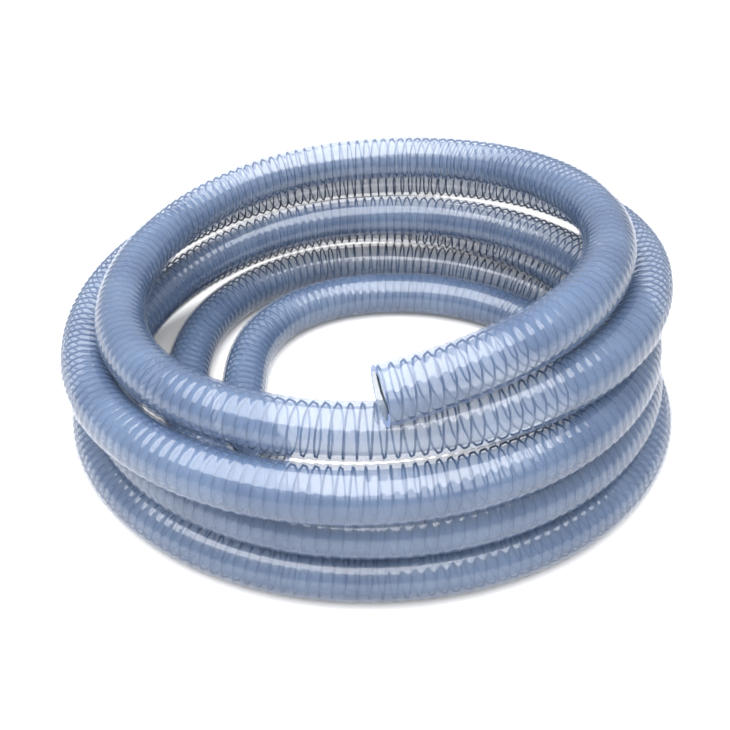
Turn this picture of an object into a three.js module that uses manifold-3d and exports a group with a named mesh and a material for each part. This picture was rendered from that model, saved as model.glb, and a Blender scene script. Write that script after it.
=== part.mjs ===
// A loose coil of clear PVC suction hose with a steel wire helix in its wall, lying on a floor.
// Millimetres, +Z up. The origin is on the floor, under the middle of the coil.
//
// The hose is one length. It is held here as three solids that meet end to end:
// the coil of four wound turns, the cut end that lies over them, and the inner end that winds on along the floor.

import * as THREE from 'three';
import { mergeVertices } from 'three/addons/utils/BufferGeometryUtils.js';
import Module from 'manifold-3d';

const wasm = await Module();
wasm.setup();

// Section of the hose
const boreDiameter = 25;
const wallThickness = 3.5;
const hoseRadius = boreDiameter / 2 + wallThickness;
const hoseDiameter = 2 * hoseRadius;

// The coil's axis, seen from the middle of the coil's box
const axisX = -13.7;
const axisY = 5.3;

// The route of the middle of the hose, once round in each row, from the cut end down to the inner end.
// Reach is the distance from the coil's axis in millimetres, at the left, front, right and back.
// Level is the height over the lowest row, in hose diameters, at the same places.
const turnRoutes = [
  { reach: [276, 190, 157, 158], level: [1.65, 3.76, 3.93, 3.07] },
  { reach: [146, 174.5, 187, 180], level: [2.47, 2.87, 3.1, 2.29] },
  { reach: [171, 194, 182, 157], level: [1.81, 2.07, 1.99, 1.58] },
  { reach: [156, 185, 190, 184], level: [0.92, 1.08, 0.95, 0.96] },
  { reach: [175, 183, 202, 175], level: [0, 0, 0, 0] },
  { reach: [116, 145, 168, 119], level: [0, 0, 0, 0] },
  { reach: [75, 112, 127, 127], level: [0, 0, 0, 0] },
];
const reachAt = turnRoutes.flatMap((turn) => turn.reach);
const levelAt = turnRoutes.flatMap((turn) => turn.level);
const quarter = 90;
const routeStart = -180;

// Where the hose begins, where the coiled turns begin and end, and where the hose ends, in degrees
// counted from the coil's right-hand side, anticlockwise as seen from above
const cutAngle = -85;
const coilStart = 60;
const coiledTurns = 4;
const coilEnd = coilStart + 360 * coiledTurns;
const innerAngle = 2040;

// Steps of the solids
const coilStations = 60;
const rowSteps = 4;
const tubeSides = 12;
const tubeStepAngle = 12;
const seamAngle = 0.2;

// Half the coil's thickness in the grooves between its rows
const grooveHalfWidth = 9;

// Half the width of the coil's flat crown and of the flat foot that it rests on
const footHalfWidth = 5;

// Clearance that touching solids keep
const clearance = 0.3;

// A smooth curve through one value at each quarter turn
function along(values, angle) {
  const place = (angle - routeStart) / quarter;
  const index = THREE.MathUtils.clamp(Math.floor(place), 1, values.length - 3);
  const t = place - index;
  const [before, from, to, after] = values.slice(index - 1, index + 3);
  const slope = to - before;
  const bend = 2 * before - 5 * from + 4 * to - after;
  const twist = 3 * from - before - 3 * to + after;
  return from + (t * (slope + t * (bend + t * twist))) / 2;
}

function reachOf(angle) {
  return along(reachAt, angle);
}

function heightOf(angle) {
  return hoseRadius + hoseDiameter * Math.max(0, along(levelAt, angle));
}

function pointAt(angle, reach, height) {
  const turn = THREE.MathUtils.degToRad(angle);
  return new THREE.Vector3(axisX + reach * Math.cos(turn), axisY + reach * Math.sin(turn), height);
}

// A stretch of the hose's middle line, from one angle to another
class HoseLine extends THREE.Curve {
  constructor(fromAngle, toAngle) {
    super();
    this.fromAngle = fromAngle;
    this.toAngle = toAngle;
  }

  getPoint(t) {
    const angle = THREE.MathUtils.lerp(this.fromAngle, this.toAngle, t);
    return pointAt(angle, reachOf(angle), heightOf(angle));
  }
}

// Solids for cutting
function toSolid(geometry) {
  const bare = geometry.clone();
  bare.deleteAttribute('uv');
  bare.deleteAttribute('normal');
  const merged = mergeVertices(bare, 1e-4);
  const vertProperties = new Float32Array(merged.attributes.position.array);
  const triVerts = new Uint32Array(merged.index.array);
  return new wasm.Manifold(new wasm.Mesh({ numProp: 3, vertProperties, triVerts }));
}

function toGeometry(solid) {
  const mesh = solid.getMesh();
  const geometry = new THREE.BufferGeometry();
  geometry.setAttribute('position', new THREE.BufferAttribute(mesh.vertProperties, 3));
  geometry.setIndex(new THREE.BufferAttribute(mesh.triVerts, 1));
  return geometry;
}

// A stretch of hose along its line, hollow if it has a bore
function hoseStretch(fromAngle, toAngle, outerRadius, boreRadius = 0) {
  const section = new THREE.Shape().absarc(0, 0, outerRadius, 0, 2 * Math.PI);
  if (boreRadius > 0) {
    section.holes.push(new THREE.Path().absarc(0, 0, boreRadius, 0, 2 * Math.PI, true));
  }
  return new THREE.ExtrudeGeometry(section, {
    curveSegments: tubeSides / 2,
    steps: Math.ceil((toAngle - fromAngle) / tubeStepAngle),
    extrudePath: new HoseLine(fromAngle, toAngle),
  });
}

// The room that a stretch of hose needs: its round outside and the clearance
function roomFor(fromAngle, toAngle) {
  const cornerRadius = (hoseRadius + clearance) / Math.cos(Math.PI / tubeSides);
  return toSolid(hoseStretch(fromAngle, toAngle, cornerRadius));
}

// The point in the groove between two rows of the coil, on its outside or its inside
function grooveBetween(upper, lower, side) {
  const across = new THREE.Vector2(upper.y - lower.y, lower.x - upper.x).normalize();
  return upper.clone().lerp(lower, 0.5).addScaledVector(across, side * grooveHalfWidth);
}

// One side of the coil's outline, from the top row's crown to the lowest row's foot
function outlineSide(rows, side) {
  const points = [];
  rows.forEach((row, index) => {
    const crown = new THREE.Vector2(row.x + side * footHalfWidth, row.y + hoseRadius);
    const foot = new THREE.Vector2(row.x + side * footHalfWidth, row.y - hoseRadius);
    const start = index > 0 ? grooveBetween(rows[index - 1], row, side) : crown;
    const end = index < rows.length - 1 ? grooveBetween(row, rows[index + 1], side) : foot;
    const startTurn = Math.atan2(start.y - row.y, side * (start.x - row.x));
    const endTurn = Math.atan2(end.y - row.y, side * (end.x - row.x));
    points.push(start);
    for (let step = 1; step < rowSteps; step += 1) {
      const turn = THREE.MathUtils.lerp(startTurn, endTurn, step / rowSteps);
      const reach = row.x + side * hoseRadius * Math.cos(turn);
      points.push(new THREE.Vector2(reach, row.y + hoseRadius * Math.sin(turn)));
    }
    if (index === rows.length - 1) {
      points.push(end);
    }
  });
  return points;
}

// The outline of the four rows that pass a station of the coil, up its inside and down its outside
function coilSection(angle) {
  const rows = [];
  for (let turn = 0; turn < coiledTurns; turn += 1) {
    const passAngle = angle + 360 * turn;
    rows.push(new THREE.Vector2(reachOf(passAngle), heightOf(passAngle)));
  }
  const outline = [...outlineSide(rows, 1).reverse(), ...outlineSide(rows, -1)];
  return outline.map((point) => pointAt(angle, point.x, point.y));
}

// The coil is a ring turned once round the axis. Each station of it takes its own outline,
// and the outlines meet in a step where the top row begins and the lowest row ends.
function coilSolid() {
  const angles = [];
  for (let station = 0; station < coilStations; station += 1) {
    angles.push(THREE.MathUtils.lerp(coilStart, coilStart + 360 - seamAngle, station / (coilStations - 1)));
  }
  const sections = angles.map(coilSection);
  sections.push(sections[0]);
  const profile = sections[0].map((point, index) => new THREE.Vector2(hoseDiameter + index, index));
  profile.push(profile[0]);
  const ring = new THREE.LatheGeometry(profile, coilStations);
  const position = ring.attributes.position;
  sections.forEach((section, station) => {
    profile.forEach((_, index) => {
      const point = section[index % section.length];
      position.setXYZ(station * profile.length + index, point.x, point.y, point.z);
    });
  });
  return toSolid(ring);
}

function hosePart(name, geometry) {
  const clearPvc = new THREE.MeshStandardMaterial({ color: 0x9fb0cc, roughness: 0.2, metalness: 0 });
  const mesh = new THREE.Mesh(geometry, clearPvc);
  mesh.name = name;
  return mesh;
}

const endGap = THREE.MathUtils.radToDeg(clearance / reachOf(coilStart));
const innerGap = THREE.MathUtils.radToDeg(clearance / reachOf(coilEnd));
const coil = coilSolid()
  .subtract(roomFor(cutAngle, coilStart - seamAngle / 2))
  .subtract(roomFor(coilEnd - seamAngle / 2, innerAngle));

const part = new THREE.Group();
part.add(hosePart('hose_coil', toGeometry(coil)));
part.add(
  hosePart(
    'hose_cut_end',
    hoseStretch(cutAngle, coilStart - seamAngle / 2 - endGap, hoseRadius, boreDiameter / 2),
  ),
);
part.add(
  hosePart(
    'hose_inner_end',
    hoseStretch(coilEnd + innerGap, innerAngle, hoseRadius, boreDiameter / 2),
  ),
);

export default part;
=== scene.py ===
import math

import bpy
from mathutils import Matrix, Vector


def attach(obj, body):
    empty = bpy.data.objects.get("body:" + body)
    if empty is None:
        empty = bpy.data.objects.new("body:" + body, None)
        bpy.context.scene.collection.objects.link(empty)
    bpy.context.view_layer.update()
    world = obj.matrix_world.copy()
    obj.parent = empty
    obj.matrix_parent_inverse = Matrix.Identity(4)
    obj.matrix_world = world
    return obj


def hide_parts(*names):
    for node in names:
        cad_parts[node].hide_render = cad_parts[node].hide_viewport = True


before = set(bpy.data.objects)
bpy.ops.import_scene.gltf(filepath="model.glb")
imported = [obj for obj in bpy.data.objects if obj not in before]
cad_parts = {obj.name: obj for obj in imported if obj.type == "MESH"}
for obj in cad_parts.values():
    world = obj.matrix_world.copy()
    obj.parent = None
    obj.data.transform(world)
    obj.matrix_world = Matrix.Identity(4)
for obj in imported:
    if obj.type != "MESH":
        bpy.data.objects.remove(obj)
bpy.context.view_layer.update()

# A loose coil of clear PVC suction hose with a steel wire helix in its wall, on a pale studio floor.
# Lengths are real sizes in millimetres, turned to metres where Blender takes them.

mm = 0.001
scene = bpy.context.scene
scene.view_settings.view_transform = "Standard"

# Section of the hose
bore_diameter = 25.0
wall_thickness = 3.5
hose_radius = bore_diameter / 2 + wall_thickness
hose_diameter = 2 * hose_radius

# Wire helix, in the middle of the wall
wire_diameter = 1.3
wire_pitch = 6.6
wire_radius = bore_diameter / 2 + wall_thickness / 2
wire_steps = 12
wire_sides = 5

# The wall swells a little over the wire
rib_height = 0.22

# Facets of the hose: wire steps between the rings of its outside and of its bore, and sides round it
steps_per_ring = 3
steps_per_bore_ring = 24
hose_sides = 20
wall_slot = 0
bore_slot = 1
cut_slot = 2
sharp_edge_angle = 60

# The route of the middle of the hose, in the same quarter turns as the CAD part: the coil's axis,
# the reach from it at the left, front, right and back, and the level over the lowest row in diameters
coil_axis = (-13.7, 5.3)
turn_routes = [
    ((276, 190, 157, 158), (1.65, 3.76, 3.93, 3.07)),
    ((146, 174.5, 187, 180), (2.47, 2.87, 3.1, 2.29)),
    ((171, 194, 182, 157), (1.81, 2.07, 1.99, 1.58)),
    ((156, 185, 190, 184), (0.92, 1.08, 0.95, 0.96)),
    ((175, 183, 202, 175), (0, 0, 0, 0)),
    ((116, 145, 168, 119), (0, 0, 0, 0)),
    ((75, 112, 127, 127), (0, 0, 0, 0)),
]
reach_at = [value for reach, level in turn_routes for value in reach]
level_at = [value for reach, level in turn_routes for value in level]
quarter = 90
route_start = -180

# Where the hose begins and ends, in degrees, and the points taken along it
cut_angle = -85
inner_angle = 2040
points_per_degree = 2

# The view of the photograph: the camera's angle over the floor, what it looks at, and its lens and sensor
camera_height_angle = 34.2
camera_distance = 695.8
target_right_of_axis = 9.0
target_height = 29.7
camera_lens = 49.56
camera_sensor = 36

# The studio, in metres and watts
floor_size = 12
floor_drop = 0.0003
softbox_place = (-0.2, -0.3, 1.9)
softbox_target = (0, 0, 0.08)
softbox_width = 3.2
softbox_depth = 3.0
softbox_power = 190
sky_strength = 0.8

# The clear wall bends light as PVC does. Colours drift between two tints, blended between these noise values.
pvc_ior = 1.53
cloud_detail = 2.0
tint_stops = (0.3, 0.7)


def along(values, angle):
    """A smooth curve through one value at each quarter turn."""
    place = (angle - route_start) / quarter
    index = min(max(math.floor(place), 1), len(values) - 3)
    t = place - index
    before, start, end, after = values[index - 1:index + 3]
    slope = end - before
    bend = 2 * before - 5 * start + 4 * end - after
    twist = 3 * start - before - 3 * end + after
    return start + t * (slope + t * (bend + t * twist)) / 2


def route_point(angle):
    """The middle of the hose at an angle counted from the coil's right-hand side, anticlockwise."""
    reach = along(reach_at, angle)
    height = hose_radius + hose_diameter * max(0, along(level_at, angle))
    turn = math.radians(angle)
    x = coil_axis[0] + reach * math.cos(turn)
    y = coil_axis[1] + reach * math.sin(turn)
    return Vector((x, y, height)) * mm


def evenly_spaced(points, spacing):
    """Points a fixed distance apart along a line of points."""
    spaced = [points[0]]
    travelled = 0.0
    wanted = spacing
    for start, end in zip(points, points[1:]):
        step = (end - start).length
        while wanted <= travelled + step:
            spaced.append(start.lerp(end, (wanted - travelled) / step))
            wanted += spacing
        travelled += step
    return spaced


def directions(line):
    """Across and up directions of the hose's section at each point of its line."""
    found = []
    for index in range(len(line)):
        before = line[max(index - 1, 0)]
        after = line[min(index + 1, len(line) - 1)]
        tangent = (after - before).normalized()
        across = tangent.cross(Vector((0, 0, 1))).normalized()
        found.append((across, across.cross(tangent)))
    return found


def srgb(code):
    """An sRGB hex colour as the linear colour that a shader takes."""
    values = [int(code[i:i + 2], 16) / 255 for i in (1, 3, 5)]
    linear = [v / 12.92 if v <= 0.04045 else ((v + 0.055) / 1.055) ** 2.4 for v in values]
    return (*linear, 1.0)


def add_node(tree, kind, settings=None, links=None):
    """Adds one node, sets its values and joins other nodes' outputs to its inputs."""
    node = tree.nodes.new(kind)
    for name, value in (settings or {}).items():
        if name in node.inputs:
            node.inputs[name].default_value = value
        else:
            setattr(node, name, value)
    for name, output in (links or {}).items():
        tree.links.new(output, node.inputs[name])
    return node


def fine_noise(tree, scale, detail):
    """A noise fixed in the object's own place, the same from every side."""
    place = add_node(tree, "ShaderNodeTexCoord")
    noise = add_node(
        tree,
        "ShaderNodeTexNoise",
        {"Scale": scale, "Detail": detail},
        {"Vector": place.outputs["Object"]},
    )
    return noise.outputs["Fac"]


def mottled_material(name, colours, colour_scale, settings, roughness=None, ripple=None):
    """A material whose colour drifts between two tints. Its gloss may drift and ripple too.

    roughness is its lowest and highest value, and ripple is the noise's scale, detail and depth in millimetres.
    """
    material = bpy.data.materials.new(name)
    material.use_nodes = True
    tree = material.node_tree
    tree.nodes.clear()
    ramp = add_node(tree, "ShaderNodeValToRGB", {}, {"Fac": fine_noise(tree, colour_scale, cloud_detail)})
    for stop, position, code in zip(ramp.color_ramp.elements, tint_stops, colours):
        stop.position = position
        stop.color = srgb(code)
    links = {"Base Color": ramp.outputs["Color"]}
    if ripple:
        scale, detail, depth = ripple
        height = fine_noise(tree, scale, detail)
        spread = add_node(
            tree,
            "ShaderNodeMapRange",
            {"To Min": roughness[0], "To Max": roughness[1]},
            {"Value": height},
        )
        bump = add_node(tree, "ShaderNodeBump", {"Strength": 1.0, "Distance": depth * mm}, {"Height": height})
        links["Roughness"] = spread.outputs["Result"]
        links["Normal"] = bump.outputs["Normal"]
    body = add_node(tree, "ShaderNodeBsdfPrincipled", settings, links)
    add_node(tree, "ShaderNodeOutputMaterial", {}, {"Surface": body.outputs["BSDF"]})
    return material


def mesh_piece(name, points, faces, materials, face_slots=None):
    """A mesh object that keeps its place in its mesh, with its materials in the order given."""
    mesh = bpy.data.meshes.new(name)
    mesh.from_pydata([tuple(point) for point in points], [], faces)
    for material in materials:
        mesh.materials.append(material)
    if face_slots:
        mesh.polygons.foreach_set("material_index", face_slots)
    mesh.update()
    piece = bpy.data.objects.new(name, mesh)
    scene.collection.objects.link(piece)
    return piece


def ring_of_points(centre, across, up, radius, sides):
    """One ring of a round section, whose radius may change round it."""
    ring = []
    for side in range(sides):
        turn = 2 * math.pi * side / sides
        ring.append(centre + (across * math.cos(turn) + up * math.sin(turn)) * radius(turn) * mm)
    return ring


def join_rings(first, second, sides, flip):
    """The faces between two rings, each given by the place of its first point."""
    faces = []
    for side in range(sides):
        after = (side + 1) % sides
        face = (first + side, first + after, second + after, second + side)
        faces.append(face[::-1] if flip else face)
    return faces


def make_hose(line, frames):
    """The whole hose: its ribbed outside, its bore and its two cut faces, as one closed wall."""
    points = []
    faces = []
    slots = []
    outer_rings = []
    bore_rings = []
    last = len(line) - 1
    for index in [*range(0, last, steps_per_ring), last]:
        phase = 2 * math.pi * index / wire_steps
        outer_rings.append(len(points))
        points += ring_of_points(
            line[index],
            *frames[index],
            lambda turn: hose_radius - rib_height + rib_height * math.cos(phase - turn),
            hose_sides,
        )
    for index in [*range(0, last, steps_per_bore_ring), last]:
        bore_rings.append(len(points))
        points += ring_of_points(line[index], *frames[index], lambda turn: bore_diameter / 2, hose_sides)
    for first, second in zip(outer_rings, outer_rings[1:]):
        faces += join_rings(first, second, hose_sides, False)
    slots += [wall_slot] * (len(faces) - len(slots))
    for first, second in zip(bore_rings, bore_rings[1:]):
        faces += join_rings(first, second, hose_sides, True)
    slots += [bore_slot] * (len(faces) - len(slots))
    faces += join_rings(outer_rings[0], bore_rings[0], hose_sides, True)
    faces += join_rings(outer_rings[-1], bore_rings[-1], hose_sides, False)
    slots += [cut_slot] * (len(faces) - len(slots))
    return mesh_piece("clear_hose", points, faces, [clear_pvc_wall, clear_pvc_bore, cut_pvc_face], slots)


def make_wire(line, frames):
    """The wire, wound once round the wall in each pitch and cut flush with the hose's ends."""
    centres = []
    outwards = []
    for index, point in enumerate(line):
        turn = 2 * math.pi * index / wire_steps
        across, up = frames[index]
        outward = across * math.cos(turn) + up * math.sin(turn)
        outwards.append(outward)
        centres.append(point + outward * wire_radius * mm)
    points = []
    faces = []
    for index, centre in enumerate(centres):
        before = centres[max(index - 1, 0)]
        after = centres[min(index + 1, len(centres) - 1)]
        tangent = (after - before).normalized()
        side = tangent.cross(outwards[index]).normalized()
        points += ring_of_points(centre, outwards[index], side, lambda turn: wire_diameter / 2, wire_sides)
    for index in range(len(centres) - 1):
        faces += join_rings(index * wire_sides, (index + 1) * wire_sides, wire_sides, False)
    end = (len(centres) - 1) * wire_sides
    faces.append(tuple(reversed(range(wire_sides))))
    faces.append(tuple(range(end, end + wire_sides)))
    return mesh_piece("steel_wire_helix", points, faces, [drawn_steel_wire])


def smooth(piece):
    """Smooth faces with the cut rims left sharp."""
    bpy.ops.object.select_all(action="DESELECT")
    bpy.context.view_layer.objects.active = piece
    piece.select_set(True)
    bpy.ops.object.shade_smooth_by_angle(angle=math.radians(sharp_edge_angle))
    piece.select_set(False)


# Plasticised PVC, extruded clear over the wire: a blue see-through body with a wet, slightly wavy gloss
clear_pvc_wall = mottled_material(
    "clear_pvc_extruded",
    ("#4E6285", "#617697"),
    30.0,
    {"IOR": pvc_ior, "Alpha": 0.48, "Specular IOR Level": 0.8, "Coat Weight": 0.7, "Coat Roughness": 0.1},
    roughness=(0.14, 0.26),
    ripple=(260.0, 3.0, 0.05),
)

# The bore's skin, drawn over the mandrel: it carries the depth of the wall, a little greyer and duller
clear_pvc_bore = mottled_material(
    "clear_pvc_bore_skin",
    ("#4F6072", "#617386"),
    40.0,
    {"IOR": pvc_ior, "Alpha": 0.35},
    roughness=(0.25, 0.4),
    ripple=(180.0, 2.0, 0.04),
)

# The knife-cut end of the wall: its lighter, denser tint is painted light that gathers in the cut. The face
# itself is satin, with fine knife marks
cut_pvc_face = mottled_material(
    "clear_pvc_knife_cut",
    ("#6A7CA6", "#8496BB"),
    300.0,
    {"IOR": pvc_ior, "Alpha": 0.85},
    roughness=(0.35, 0.5),
    ripple=(900.0, 2.0, 0.06),
)

# Spring steel wire, drawn and thinly zinced: dull metal that reads as a dark line in the clear wall
drawn_steel_wire = mottled_material(
    "galvanised_steel_wire_drawn",
    ("#080D18", "#121A2A"),
    120.0,
    {"Metallic": 0.5},
    roughness=(0.4, 0.6),
    ripple=(1500.0, 2.0, 0.01),
)

# Matt studio paper, nearly even, that the lamp turns white
studio_paper = mottled_material(
    "studio_paper",
    ("#DADADA", "#DDDDDD"),
    14.0,
    {"Roughness": 0.9, "Specular IOR Level": 0.1},
)

# Camera
tilt = math.radians(camera_height_angle)
looking = Vector((0, math.cos(tilt), -math.sin(tilt)))
camera_data = bpy.data.cameras.new("photo_camera")
camera_data.sensor_width = camera_sensor
camera_data.lens = camera_lens
camera = bpy.data.objects.new("photo_camera", camera_data)
target = Vector((coil_axis[0] + target_right_of_axis, coil_axis[1], target_height))
camera.location = (target - looking * camera_distance) * mm
camera.rotation_euler = looking.to_track_quat("-Z", "Y").to_euler()
scene.collection.objects.link(camera)
scene.camera = camera

# The hose and its wire
last_step = points_per_degree * (inner_angle - cut_angle)
route = [route_point(cut_angle + step / points_per_degree) for step in range(last_step + 1)]
hose_line = evenly_spaced(route, wire_pitch / wire_steps * mm)
hose_frames = directions(hose_line)
hose = make_hose(hose_line, hose_frames)
wire = make_wire(hose_line, hose_frames)
for piece in (hose, wire):
    smooth(piece)
    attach(piece, "root")
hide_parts("hose_coil", "hose_cut_end", "hose_inner_end")

# Pale floor
bpy.ops.object.select_all(action="DESELECT")
bpy.ops.mesh.primitive_plane_add(size=floor_size, location=(0, 0, -floor_drop))
floor = bpy.context.active_object
floor.name = "studio_floor"
floor.data.materials.append(studio_paper)

# One soft studio lamp, overhead and a little to the front
softbox_data = bpy.data.lights.new("front_overhead_softbox", "AREA")
softbox_data.shape = "RECTANGLE"
softbox_data.size = softbox_width
softbox_data.size_y = softbox_depth
softbox_data.energy = softbox_power
softbox = bpy.data.objects.new("front_overhead_softbox", softbox_data)
softbox.location = softbox_place
softbox_aim = Vector(softbox_target) - Vector(softbox_place)
softbox.rotation_euler = softbox_aim.to_track_quat("-Z", "Y").to_euler()
scene.collection.objects.link(softbox)

# Even white light from all round
world = bpy.data.worlds.new("studio")
world.use_nodes = True
world.node_tree.nodes["Background"].inputs["Color"].default_value = srgb("#FFFFFF")
world.node_tree.nodes["Background"].inputs["Strength"].default_value = sky_strength
scene.world = world
